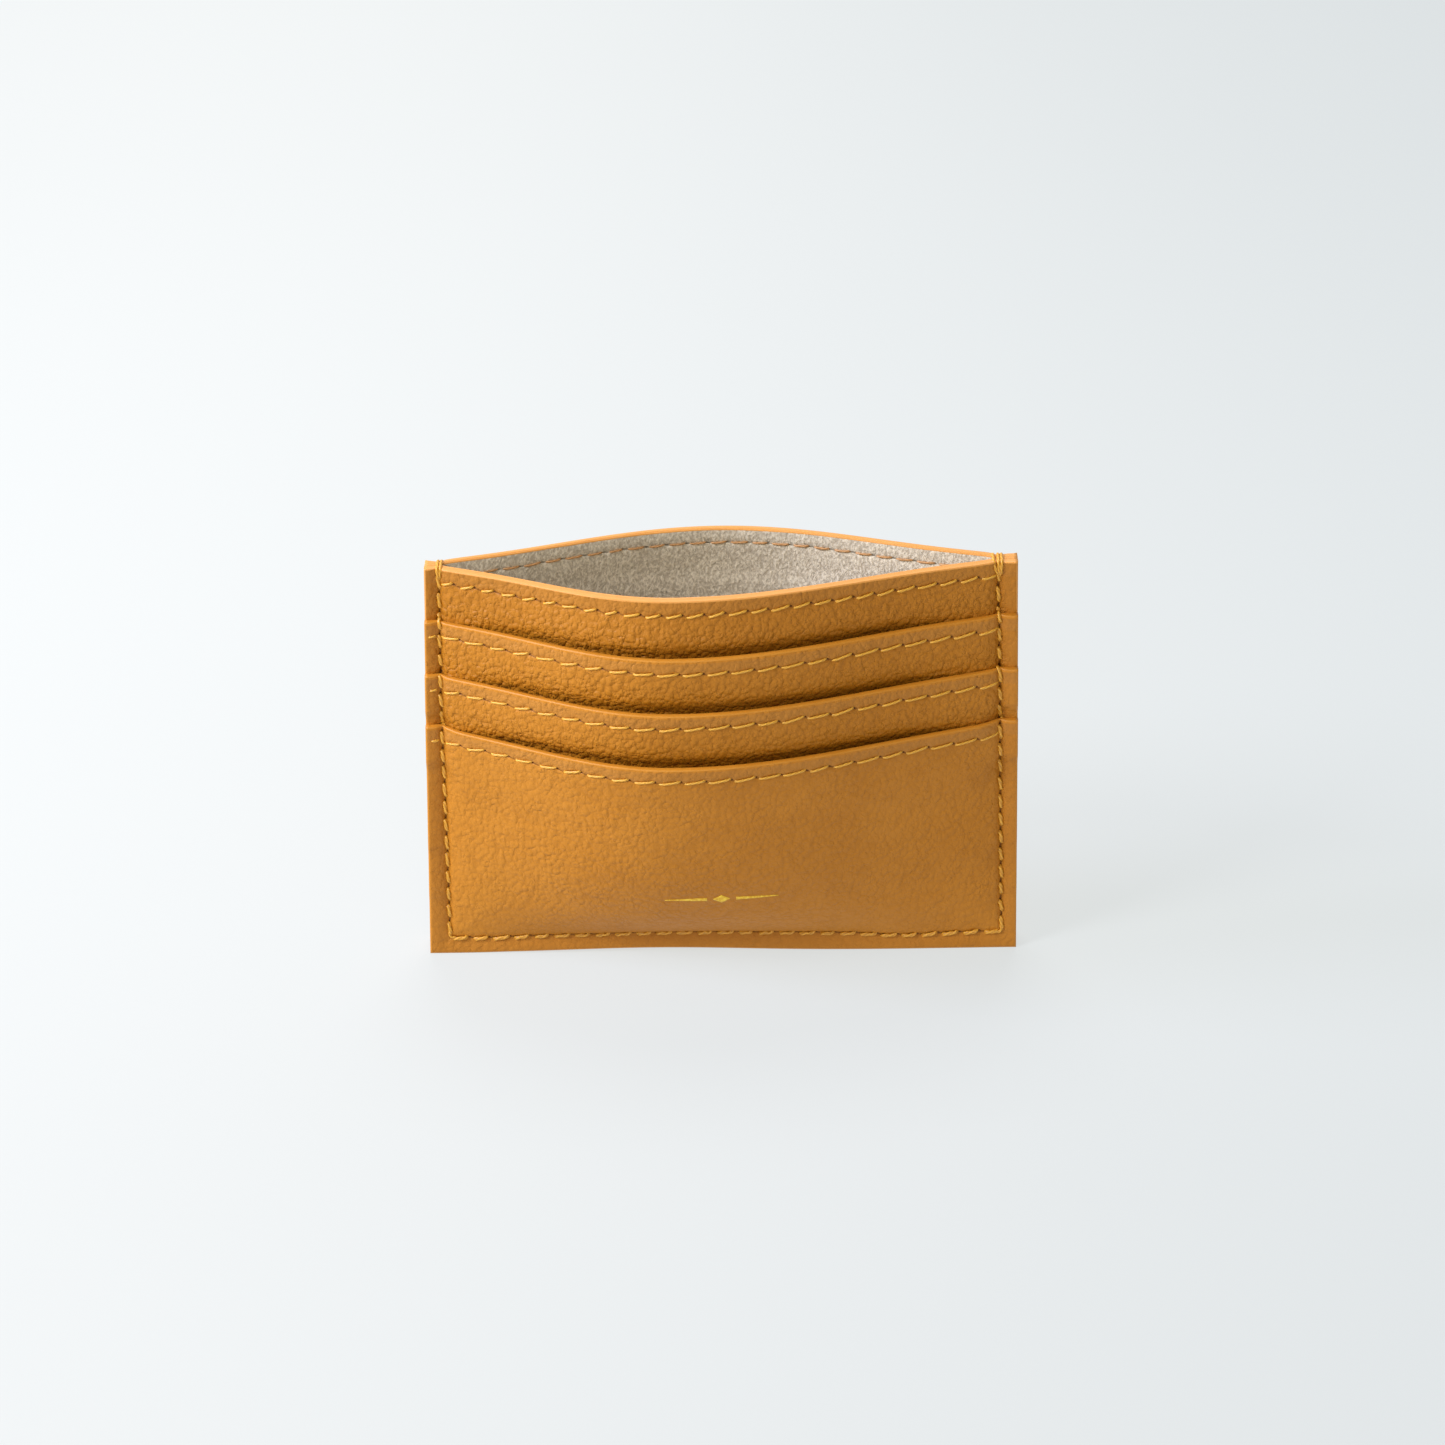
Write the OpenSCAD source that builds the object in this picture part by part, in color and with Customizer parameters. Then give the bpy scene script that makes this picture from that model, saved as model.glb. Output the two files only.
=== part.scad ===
// Open-topped leather card holder: two lined walls with three stepped card pockets on each,
// sewn together down both sides and along the bottom, and bowed apart at the mouth.
// X is the width, the front faces -Y, Z is up, and the bottom edge stands on z = 0.

/* [Body] */
// Width along the bottom edge
width = 100; // [92:1:108]
// Height from the bottom edge to the mouth
height = 72.5; // [70:0.5:80]
// Width that each side loses at the mouth, because the walls bow apart
mouth_draw_in = 2; // [1:0.5:3]
// How far the mouth sits to the right of the bottom edge
mouth_drift = 1; // [0:0.1:1.5]
// Thickness of the outer leather and of the pocket leather
leather = 1.1; // [0.8:0.1:1.3]
// Thickness of the suede lining
lining = 0.4; // [0.3:0.1:0.6]
// Height at which the lining stops above the bottom edge
lining_lift = 0.5; // [0.3:0.1:1]

/* [Bow of the walls] */
// How far each wall stands out from the parting plane at its deepest
body_bow = 13.7; // [9:0.1:15]
// The same for the front wall at the mouth
front_mouth_bow = 12.6; // [8:0.1:14]
// The same for the back wall at the mouth
back_mouth_bow = 11.5; // [8:0.1:14]
// Height over which the wall swings out above the bottom seam
bow_rise = 12; // [9:0.5:16]
// How far left of the middle the front wall is deepest, as a share of its half width
bow_skew = 0.16; // [0:0.02:0.2]
// Roundness of the bow up to the lower pocket's edge: 1 is a parabola, 0 a pointed bell
body_roundness = 0.55; // [0:0.05:1]
// The same at the mouth
mouth_roundness = 0.4; // [0:0.05:1]

/* [Card pockets] */
// Height of the upper pocket's edge
upper_edge = 63.3; // [62:0.1:65]
// Drop from one pocket edge to the next
pocket_step = 9.3; // [8.5:0.1:10]
// Height of the leather on the upper and middle pockets
strip_height = 15.5; // [14:0.5:17]
// Height of the upper pocket's floor
upper_floor = 22; // [20:0.5:24]
// Height of the middle pocket's floor
middle_floor = 12.5; // [11:0.5:14]
// Thickness of the textile that carries a pocket down to its floor
textile = 0.3; // [0.2:0.05:0.4]
// Play between one layer and the next at the middle of the bow
slack = 0.15; // [0.1:0.05:0.3]
// How far a pocket's edge stands off the layer behind it
flare = 0.65; // [0.3:0.05:1]

/* [Stitching] */
// Distance of the bottom seam from the bottom edge
bottom_inset = 3; // [2.5:0.1:4]
// Distance of the left seam from the left edge, at the bottom
left_inset_low = 3.5; // [2.5:0.1:4]
// Distance of the left seam from the left edge, at the mouth
left_inset_high = 2.3; // [2:0.1:4]
// Distance of the right seam from the right edge, at the bottom
right_inset_low = 2.5; // [2:0.1:4]
// Distance of the right seam from the right edge, at the mouth
right_inset_high = 3.2; // [2:0.1:4]
// Distance of each top-stitched row below its edge
row_inset = 2.6; // [2:0.1:3.5]
// Thickness of the thread
thread = 0.5; // [0.4:0.05:0.6]
// Visible length of one stitch
stitch = 2.5; // [2:0.1:2.8]
// Pitch of the stitches along the seams and the mouth
seam_pitch = 3.5; // [3.2:0.1:4]
// Pitch of the stitches along the pocket edges
pocket_pitch = 4; // [3.5:0.1:4.5]

/* [Foil ornament] */
// Length of the foil ornament
foil_length = 19.5; // [12:0.5:24]
// Height of the ornament's centre above the bottom edge
foil_height = 16.2; // [10:0.1:20]
// Height of the lozenge at its middle
lozenge_height = 2; // [1:0.1:3]
// Height of each side bar where it is tallest
bar_height = 0.8; // [0.4:0.1:1.2]
// Thickness of the foil
foil = 0.08; // [0.05:0.01:0.15]

/* [Hidden] */

FRONT = 1;
BACK = -1;
LEATHER_COLOUR = [0.78, 0.53, 0.24];
LINING_COLOUR = [0.66, 0.61, 0.53];
TEXTILE_COLOUR = [0.55, 0.42, 0.26];
THREAD_COLOUR = [0.86, 0.66, 0.30];
FOIL_COLOUR = [0.90, 0.72, 0.25];

wall = lining + leather;
middle_edge = upper_edge - pocket_step;
lower_edge = middle_edge - pocket_step;
upper_foot = upper_edge - strip_height;
middle_foot = middle_edge - strip_height;
// Height over which an outer layer eases down past the end of the layer beneath it
ease = 2.5;
// Height over which a bowed pocket spans the step at the end of a strip beneath it
span = 26;
// Height of the flared band below a pocket's edge
flare_band = 7;
// Height at which the wall starts to draw in towards the mouth
mouth_start = 60;

// Columns of every sheet: outer edge, seam, the bowed stretch from -1 to 1, seam, outer edge
BOW_CELLS = 20;
COLUMNS = concat([-2], [for (i = [0 : BOW_CELLS]) -1 + 2 * i / BOW_CELLS], [2]);

function smooth(t) = let (c = max(0, min(1, t))) c * c * (3 - 2 * c);
function mix(a, b, t) = a + (b - a) * t;

// 0 well below a layer's end at z0, 1 from that end up
function above(z, z0) = smooth((z - z0) / ease + 1);

// Outer edges and seam lines lean in towards the mouth
function half_width(z) = width / 2 - mouth_draw_in * z / height;
function left_seam(z) = -half_width(z) + mix(left_inset_low, left_inset_high, z / height);
function right_seam(z) = half_width(z) - mix(right_inset_low, right_inset_high, z / height);
function seam_middle(z) = (left_seam(z) + right_seam(z)) / 2;
function seam_half(z) = (right_seam(z) - left_seam(z)) / 2;

// Place across the width for a column from -2 to 2
function column_x(c, z) =
    c < -1 ? mix(left_seam(z), -half_width(z), -1 - c) :
    c > 1 ? mix(right_seam(z), half_width(z), c - 1) :
    seam_middle(z) + c * seam_half(z);

// Share of the bow at x: 0 at both seams and 1 at the deepest point
function bow_share(side, x, z) =
    let (
        skew = side == FRONT ? bow_skew : 0,
        u = (x - seam_middle(z)) / seam_half(z) + skew,
        v = max(-1, min(1, u > 0 ? u / (1 + skew) : u / (1 - skew)))
    )
    mix(pow(cos(90 * v), 2), 1 - v * v, roundness(z));

function roundness(z) =
    mix(body_roundness, mouth_roundness, smooth((z - lower_edge) / (height - lower_edge)));

// Depth of the bow at height z
function bow_depth(side, z) =
    let (
        mouth_bow = side == FRONT ? front_mouth_bow : back_mouth_bow,
        rise = 1 - exp(-max(0, z - bottom_inset) / bow_rise),
        closing = smooth((z - mouth_start) / (height - mouth_start))
    )
    rise * mix(body_bow, mouth_bow, closing);

// Layers are counted outwards: 0 lining, 1 panel, 2 upper, 3 middle and 4 lower pocket.
// Thickness of everything beneath a layer at the seams
function beneath(layer, z) =
    layer == 0 ? 0 :
    layer == 1 ? lining :
    layer == 2 ? wall :
    layer == 3 ? wall + textile * above(z, upper_floor)
        + (leather - textile) * above(z, upper_foot) :
    beneath(3, z) + textile * above(z, middle_floor)
        + (leather - textile) * above(z, middle_foot);

// Room that a pocket leaves at the middle of the bow, more of it at its own edge
function play(layer, z) =
    layer < 2 ? 0 :
    (layer - 1) * slack + flare * smooth(1 - (edge_of(layer) - z) / flare_band)
        + (layer > 2 ? room_below(upper_foot, z) : 0)
        + (layer > 3 ? room_below(middle_foot, z) : 0);

// Room under a pocket where it spans the step at a strip's foot
function room_below(foot, z) = (leather - textile) * (smooth((z - foot) / span + 1) - above(z, foot));

function edge_of(layer) =
    layer == 2 ? upper_edge :
    layer == 3 ? middle_edge :
    layer == 4 ? lower_edge : height;

// Depth of a layer's inner face in front of the parting plane
function inner(side, layer, x, z) =
    beneath(layer, z) + (bow_depth(side, z) + play(layer, z)) * bow_share(side, x, z);
function outer(side, layer, x, z) = inner(side, layer, x, z) + leather;

// Point at a depth in front of the parting plane, where the whole body drifts sideways with height
function place(x, depth, z) = [x + mouth_drift * z / height, -depth, z];

// Rows of a sheet, closer together near its lower end when crowd is above 1
function rows(low, high, cells, crowd = 1) =
    [for (j = [0 : cells]) low + (high - low) * pow(j / cells, crowd)];

PANEL_ROWS = concat([lining_lift], rows(bottom_inset, height, 11, 1.5));

// Builds in front of the parting plane, or the same behind it
module on(side) {
    if (side == FRONT)
        children();
    else
        mirror([0, 1, 0]) children();
}

// A closed sheet on a lattice. spot(i, j) gives a point of the inner face.
module sheet(spot, columns, rows, thickness) {
    near = [for (j = [0 : rows], i = [0 : columns]) spot(i, j)];
    far = [for (p = near) p - [0, thickness, 0]];
    wide = columns + 1;
    back = wide * (rows + 1);
    top = wide * rows;
    cells = [for (j = [0 : rows - 1], i = [0 : columns - 1]) j * wide + i];
    faces = concat(
        [for (a = cells) [a, a + wide, a + wide + 1]],
        [for (a = cells) [a, a + wide + 1, a + 1]],
        [for (a = cells) [back + a, back + a + wide + 1, back + a + wide]],
        [for (a = cells) [back + a, back + a + 1, back + a + wide + 1]],
        [for (a = [0 : columns - 1]) [a, a + 1, back + a + 1, back + a]],
        [for (a = [top : top + columns - 1]) [a + 1, a, back + a, back + a + 1]],
        [for (a = [0 : wide : top - wide]) [a + wide, a, back + a, back + a + wide]],
        [for (a = [columns : wide : top - 1]) [a, a + wide, back + a + wide, back + a]]
    );
    polyhedron(concat(far, near), faces);
}

// One full-width layer between the heights in levels
module layer_sheet(side, layer, levels, thickness) {
    spot = function(i, j)
        let (z = levels[j], x = column_x(COLUMNS[i], z)) place(x, inner(side, layer, x, z), z);
    on(side) sheet(spot, len(COLUMNS) - 1, len(levels) - 1, thickness);
}

module wall_lining(side) {
    color(LINING_COLOUR) layer_sheet(side, 0, PANEL_ROWS, lining);
}

module wall_panel(side) {
    color(LEATHER_COLOUR) layer_sheet(side, 1, concat([0], PANEL_ROWS), leather);
}

module upper_pocket(side) {
    color(LEATHER_COLOUR) layer_sheet(side, 2, rows(upper_foot, upper_edge, 6), leather);
}

module middle_pocket(side) {
    color(LEATHER_COLOUR) layer_sheet(side, 3, rows(middle_foot, middle_edge, 8), leather);
}

module lower_pocket(side) {
    color(LEATHER_COLOUR)
        layer_sheet(side, 4, concat([0], rows(bottom_inset, lower_edge, 13, 1.3)), leather);
}

module upper_textile(side) {
    color(TEXTILE_COLOUR) layer_sheet(side, 2, rows(upper_floor, upper_foot, 5), textile);
}

module middle_textile(side) {
    color(TEXTILE_COLOUR) layer_sheet(side, 3, rows(middle_floor, middle_foot, 7), textile);
}

// One straight stitch from a to b
module thread_between(a, b) {
    run = b - a;
    length = norm(run);
    translate(a)
        rotate([0, acos(run.z / length), atan2(run.y, run.x)])
            cylinder(h = length, d = thread, $fn = 16);
}

// Centre of a thread that lies on a layer's outer face
function on_layer(side, layer, x, z) = place(x, outer(side, layer, x, z) + thread / 2, z);

// Centre of a thread that lies on the lining, inside the compartment
function on_lining(side, x, z) = place(x, inner(side, 0, x, z) - thread / 2, z);

// A row of stitches across the wall below a layer's edge, without the first and last few
module cross_row(side, layer, pitch, skipped = 0, inside = false) {
    z = edge_of(layer) - row_inset;
    run = right_seam(z) - left_seam(z);
    count = round(run / pitch);
    step = run / count;
    spot = function(x) inside ? on_lining(side, x, z) : on_layer(side, layer, x, z);
    color(THREAD_COLOUR) on(side)
        for (i = [skipped : count - 1 - skipped]) {
            x = left_seam(z) + i * step + (step - stitch) / 2;
            thread_between(spot(x), spot(x + stitch));
        }
}

// The mouth's lockstitch: one thread outside, the other on the lining
module needle_row(side) {
    cross_row(side, 1, seam_pitch);
}

module bobbin_row(side) {
    cross_row(side, 1, seam_pitch, skipped = 1, inside = true);
}

module pocket_row(side, layer) {
    cross_row(side, layer, pocket_pitch);
}

// The layer that shows at height z
function outermost(z) =
    z > upper_edge ? 1 :
    z > middle_edge ? 2 :
    z > lower_edge ? 3 : 4;

// The seam down both sides and along the bottom, on one face
module seam_row(side) {
    side_run = height - bottom_inset;
    side_count = round(side_run / seam_pitch);
    side_step = side_run / side_count;
    bottom_run = right_seam(bottom_inset) - left_seam(bottom_inset);
    bottom_count = round(bottom_run / seam_pitch);
    bottom_step = bottom_run / bottom_count;
    color(THREAD_COLOUR) on(side) {
        for (i = [0 : side_count - 1], line = [-1, 1]) {
            low = bottom_inset + i * side_step + (side_step - stitch) / 2;
            high = low + stitch;
            x_low = line < 0 ? left_seam(low) : right_seam(low);
            x_high = line < 0 ? left_seam(high) : right_seam(high);
            thread_between(
                on_layer(side, outermost(low), x_low, low),
                on_layer(side, outermost(high), x_high, high));
        }
        for (i = [0 : bottom_count - 1]) {
            x = left_seam(bottom_inset) + i * bottom_step + (bottom_step - stitch) / 2;
            thread_between(
                on_layer(side, 4, x, bottom_inset),
                on_layer(side, 4, x + stitch, bottom_inset));
        }
    }
}

// One stamped shape on the lower pocket, from x = from to x = to, with its half height as a rule
module stamp(from, to, half_height) {
    cells = 8;
    spot = function(i, j)
        let (
            t = i / cells,
            x = mix(from, to, t),
            z = foil_height + (2 * j - 1) * half_height(t)
        )
        place(x, outer(FRONT, 4, x, z), z);
    sheet(spot, cells, 1, foil);
}

// A lozenge between two tapered bars
module foil_ornament() {
    tip = 0.06;
    lozenge_half = lozenge_height * 0.7;
    bar_gap = 1;
    color(FOIL_COLOUR) {
        stamp(-lozenge_half, 0, function(t) mix(tip, lozenge_height / 2, t));
        stamp(0, lozenge_half, function(t) mix(lozenge_height / 2, tip, t));
        for (line = [-1, 1])
            stamp(
                line < 0 ? -foil_length / 2 : lozenge_half + bar_gap,
                line < 0 ? -lozenge_half - bar_gap : foil_length / 2,
                function(t) mix(bar_height / 2, tip, line < 0 ? 1 - t : t));
    }
}

wall_lining(FRONT);  // front_lining
wall_panel(FRONT);  // front_panel
upper_pocket(FRONT);  // front_upper_pocket
upper_textile(FRONT);  // front_upper_pocket_textile
middle_pocket(FRONT);  // front_middle_pocket
middle_textile(FRONT);  // front_middle_pocket_textile
lower_pocket(FRONT);  // front_lower_pocket
needle_row(FRONT);  // front_mouth_needle_thread
bobbin_row(FRONT);  // front_mouth_bobbin_thread
pocket_row(FRONT, 2);  // front_upper_pocket_thread
pocket_row(FRONT, 3);  // front_middle_pocket_thread
pocket_row(FRONT, 4);  // front_lower_pocket_thread
seam_row(FRONT);  // front_seam_thread
foil_ornament();
wall_lining(BACK);  // back_lining
wall_panel(BACK);  // back_panel
upper_pocket(BACK);  // back_upper_pocket
upper_textile(BACK);  // back_upper_pocket_textile
middle_pocket(BACK);  // back_middle_pocket
middle_textile(BACK);  // back_middle_pocket_textile
lower_pocket(BACK);  // back_lower_pocket
needle_row(BACK);  // back_mouth_needle_thread
bobbin_row(BACK);  // back_mouth_bobbin_thread
pocket_row(BACK, 2);  // back_upper_pocket_thread
pocket_row(BACK, 3);  // back_middle_pocket_thread
pocket_row(BACK, 4);  // back_lower_pocket_thread
seam_row(BACK);  // back_seam_thread
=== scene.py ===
"""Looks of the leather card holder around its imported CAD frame.

Lengths are in millimetres until a mesh is made, and MM turns them into metres. X is the width, the front
faces -Y and Z is up. A wall is described by its depth in front of the parting plane y = 0, or behind it.
"""

import math

import bpy
import numpy as np
from mathutils import Matrix, Vector


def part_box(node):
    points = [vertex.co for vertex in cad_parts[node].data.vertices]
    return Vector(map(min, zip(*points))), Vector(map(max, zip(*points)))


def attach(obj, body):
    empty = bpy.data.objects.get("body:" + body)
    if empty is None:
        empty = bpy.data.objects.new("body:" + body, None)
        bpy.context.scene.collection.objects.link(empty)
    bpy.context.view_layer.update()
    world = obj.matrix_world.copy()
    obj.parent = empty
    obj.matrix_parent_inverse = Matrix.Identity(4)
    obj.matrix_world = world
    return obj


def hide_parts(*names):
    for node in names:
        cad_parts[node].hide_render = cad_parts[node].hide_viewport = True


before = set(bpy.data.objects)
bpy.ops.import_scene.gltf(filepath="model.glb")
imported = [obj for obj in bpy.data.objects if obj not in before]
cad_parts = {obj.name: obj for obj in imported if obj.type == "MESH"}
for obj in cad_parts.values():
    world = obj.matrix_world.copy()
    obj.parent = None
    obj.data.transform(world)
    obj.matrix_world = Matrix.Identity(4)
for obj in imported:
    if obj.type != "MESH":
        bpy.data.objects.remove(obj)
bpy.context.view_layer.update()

MM = 0.001

# ---------------------------------------------------------------- sizes, as in the CAD part
panel_low, panel_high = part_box("front_panel")
WIDTH = (panel_high.x - panel_low.x) / MM
HEIGHT = (panel_high.z - panel_low.z) / MM
UPPER_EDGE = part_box("front_upper_pocket")[1].z / MM
MIDDLE_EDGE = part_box("front_middle_pocket")[1].z / MM
LOWER_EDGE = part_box("front_lower_pocket")[1].z / MM
UPPER_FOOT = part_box("front_upper_pocket")[0].z / MM
MIDDLE_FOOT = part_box("front_middle_pocket")[0].z / MM
UPPER_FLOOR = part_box("front_upper_pocket_textile")[0].z / MM
MIDDLE_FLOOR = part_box("front_middle_pocket_textile")[0].z / MM
LINING_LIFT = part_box("front_lining")[0].z / MM
# How much narrower the mouth is at each side than the bottom, and how far it leans towards +X
MOUTH_DRAW_IN, MOUTH_DRIFT = 2.0, 1.0
# Thicknesses
LEATHER, LINING, TEXTILE = 1.1, 0.4, 0.3
WALL = LINING + LEATHER
# Share of a wall's thickness that its lining takes, where the painted mouth edge runs over both
LINING_SHARE = 0.27

# ---------------------------------------------------------------- how the walls bow
FRONT, BACK = "front", "back"
# Depth of the bow on the body, which it takes on over BOW_RISE, and at the mouth, from MOUTH_START up
BODY_BOW, BOW_RISE = 13.7, 12.0
MOUTH_BOW, MOUTH_START = {FRONT: 12.6, BACK: 11.5}, 60.0
# How far off centre the deepest point lies, and how round the bow is low down and at the mouth
BOW_SKEW = {FRONT: 0.16, BACK: 0.0}
ROUNDNESS = (0.55, 0.40)
# Room between the pockets, and how far and over what height a pocket's edge stands off
SLACK = 0.15
FLARE, FLARE_BAND = 0.65, 9.0
# Height over which a layer settles past the end of one under it: at the seams, beside them, and in the bow
EASE, LONG_EASE, BRIDGE = 2.5, 9.0, 26.0
# How far a wall tucks in behind the next pocket's edge, and over what height
TUCK = {FRONT: 1.45, BACK: 0.4}
TUCK_DROP, TUCK_REACH = 1.7, 2.3
# Lift of the bottom edge where the front bows out most, and how fast it dies away up the wall
ARCH_HEIGHT, ARCH_X, ARCH_REACH, ARCH_FADE = 0.95, -11.0, 22.0, 7.0
# The walls swell at once beside a side seam, and more slowly above the bottom one
PUFF, PUFF_REACH, PUFF_RISE = 0.55, 1.5, 4.0
# A seam pulls the leather in, less at the bottom, and the margin outside it swells
VALLEY, VALLEY_REACH, MARGIN_SWELL = (0.14, 0.30), 0.6, 0.28

# ---------------------------------------------------------------- stitching
# Seams from the outer edges, at the bottom and at the mouth, and rows from the edge above them
BOTTOM_INSET, LEFT_INSET, RIGHT_INSET, ROW_INSET = 3.0, (3.5, 2.3), (2.5, 3.2), 2.6
SEAM_PITCH, MOUTH_PITCH, POCKET_PITCH = 3.48, 3.42, 4.0
SEAM_RADIUS, ROW_RADIUS, BOBBIN_RADIUS, STRAND_RADIUS, KNOT_RADIUS = 0.34, 0.20, 0.19, 0.26, 0.25
# Share of the pitch that shows at the left and at the right end of a row
MOUTH_SHOWN, BOBBIN_SHOWN, POCKET_SHOWN = (0.48, 0.70), (0.68, 0.68), (0.60, 0.76)
SEAM_SHOWN, LEFT_SHOWN = (0.60, 0.60), (0.57, 0.57)
# How far a stitch leans across its row at both ends
ROW_LEAN, BOBBIN_LEAN, BOTTOM_LEAN, SIDE_LEAN = 0.24, 0.05, 0.22, 0.14

# Layers of a wall from the inside: 0 lining, 1 panel, 2, 3 and 4 the pockets. Each ends at its edge.
LAYER_EDGE = {0: HEIGHT, 1: HEIGHT, 2: UPPER_EDGE, 3: MIDDLE_EDGE, 4: LOWER_EDGE}
POCKET_EDGES = (UPPER_EDGE, MIDDLE_EDGE, LOWER_EDGE)


def smooth(t):
    t = np.clip(t, 0.0, 1.0)
    return t * t * (3 - 2 * t)


def mix(a, b, t):
    return a + (b - a) * t


def bell(t):
    return np.exp(-t * t)


# ---------------------------------------------------------------- shape of the walls
def half_width(z):
    return WIDTH / 2 - MOUTH_DRAW_IN * z / HEIGHT


def left_seam(z):
    return -half_width(z) + mix(*LEFT_INSET, z / HEIGHT)


def right_seam(z):
    return half_width(z) - mix(*RIGHT_INSET, z / HEIGHT)


def bottom_seam(x):
    """Height of the bottom seam, which was not sewn quite parallel to the edge."""
    return BOTTOM_INSET + 0.4 * bell((x - 4) / 22) - 0.45 * bell((x - 31) / 6) - 0.2 * bell((x + 41) / 6)


def arch(x, z):
    """Lift of the bottom edge, which dies away up the wall."""
    across = bell((x - ARCH_X) / ARCH_REACH) * smooth((half_width(0) - abs(x)) / 14)
    return ARCH_HEIGHT * across * np.exp(-np.maximum(z, 0) / ARCH_FADE)


def bow_share(side, x, z):
    """0 at both seams and 1 at the deepest point. It is fuller low down and more pointed at the mouth."""
    left, right = left_seam(z), right_seam(z)
    skew = BOW_SKEW[side]
    u = (2 * x - left - right) / (right - left) + skew
    v = np.clip(np.where(u > 0, u / (1 + skew), u / (1 - skew)), -1, 1)
    round_part = mix(*ROUNDNESS, smooth((z - LOWER_EDGE) / (HEIGHT - LOWER_EDGE)))
    return round_part * (1 - v * v) + (1 - round_part) * np.cos(np.pi * v / 2) ** 2


def bow_depth(side, x, z):
    """How far the deepest part of a wall stands out at height z."""
    rise = 1 - np.exp(-np.maximum(0, z - bottom_seam(x)) / BOW_RISE)
    closing = smooth((z - MOUTH_START) / (HEIGHT - MOUTH_START))
    return rise * mix(BODY_BOW, MOUTH_BOW[side], closing)


def above(z, end, ease):
    """0 well below the height where something ends and 1 from there up."""
    return smooth((z - end) / ease + 1)


def beneath(layer, z, ease):
    """Thickness of the layers under this one."""
    total = 0 * z + {0: 0, 1: LINING}.get(layer, WALL)
    for floor, foot in ((UPPER_FLOOR, UPPER_FOOT), (MIDDLE_FLOOR, MIDDLE_FOOT))[: max(layer - 2, 0)]:
        total = total + TEXTILE * above(z, floor, ease) + (LEATHER - TEXTILE) * above(z, foot, ease)
    return total


def play(layer, z, ease):
    """Room at the middle of the bow: slack, the flare of the layer's own edge, and the bridge past a foot."""
    if layer < 2:
        return 0 * z
    room = (layer - 1) * SLACK + FLARE * smooth(1 - (LAYER_EDGE[layer] - z) / FLARE_BAND)
    for foot in (UPPER_FOOT, MIDDLE_FOOT)[: layer - 2]:
        room = room + (LEATHER - TEXTILE) * (above(z, foot, BRIDGE) - above(z, foot, ease))
    return room


def tuck(side, layer, z):
    """A wall tucks in behind each pocket edge below its own."""
    total = 0 * z
    for edge in POCKET_EDGES:
        if edge < LAYER_EDGE[layer] - 0.1:
            total = total + TUCK[side] * bell((z - edge + TUCK_DROP) / TUCK_REACH)
    return total


def inner(side, layer, x, z):
    """Depth of a layer's inner face."""
    share = bow_share(side, x, z)
    aside = np.maximum(np.minimum(x - left_seam(z), right_seam(z) - x), 0)
    ease = mix(EASE, LONG_EASE, smooth(aside / 4))
    standing = (bow_depth(side, x, z) + play(layer, z, ease)) * share
    low = np.maximum(z - bottom_seam(x), 0)
    swell = PUFF * (1 - np.exp(-aside / PUFF_REACH)) * (1 - np.exp(-low / PUFF_RISE))
    return beneath(layer, z, ease) + standing + swell - tuck(side, layer, z) * smooth(2.2 * share)


def seam_gap(x, z):
    """Distance inwards from the nearest seam, negative on the margins."""
    return np.minimum(np.minimum(x - left_seam(z), right_seam(z) - x), z - bottom_seam(x))


def seam_valley(x, z):
    """How far the seam pulls the leather in, and how the margin outside it swells."""
    gap = seam_gap(x, z)
    depth = mix(*VALLEY, smooth((z - BOTTOM_INSET) / 3))
    return -depth * bell(gap / VALLEY_REACH) + MARGIN_SWELL * smooth(-(gap + 0.3) / 2.0)


def outer(side, layer, x, z):
    """Depth of a leather layer's outer face."""
    return inner(side, layer, x, z) + LEATHER + seam_valley(x, z)


def place(side, x, depth, z):
    """Point in the part's frame, in millimetres."""
    y = -depth if side == FRONT else depth
    return np.stack(np.broadcast_arrays(x + MOUTH_DRIFT * z / HEIGHT, y, z + arch(x, z)), -1)


# ---------------------------------------------------------------- stitches as places on a wall
class Stitch:
    """One visible stitch between two needle holes, given as (x, z) on a wall."""

    def __init__(self, start, end):
        self.start = np.array(start, float)
        self.end = np.array(end, float)


def row_of_stitches(holes, shown, slant, seed):
    """Stitches between neighbouring holes, with the visible share of the pitch at the row's two ends and the
    lean across the row at both ends of a stitch."""
    dice = np.random.default_rng(seed)
    holes = np.asarray(holes, float)
    stitches = []
    for k, (a, b) in enumerate(zip(holes[:-1], holes[1:])):
        along = (b - a) / np.linalg.norm(b - a)
        across = np.array([-along[1], along[0]])
        hidden = 1 - mix(*shown, smooth(k / (0.6 * len(holes)))) + 0.04 * dice.standard_normal()
        lean = slant * (1 + 0.18 * dice.standard_normal())
        stitches.append(Stitch(mix(a, b, hidden / 2) - across * lean, mix(b, a, hidden / 2) + across * lean))
    return stitches


def cross_holes(layer, pitch, seed):
    """Holes of the row that runs across a wall under a layer's edge."""
    z = LAYER_EDGE[layer] - ROW_INSET
    low, high = left_seam(z) - 0.4, right_seam(z) + 0.3
    count = round((high - low) / pitch)
    dice = np.random.default_rng(seed)
    wander = 0.06 * dice.standard_normal((count + 1, 2))
    return np.stack([np.linspace(low, high, count + 1), np.full(count + 1, z)], 1) + wander


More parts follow.
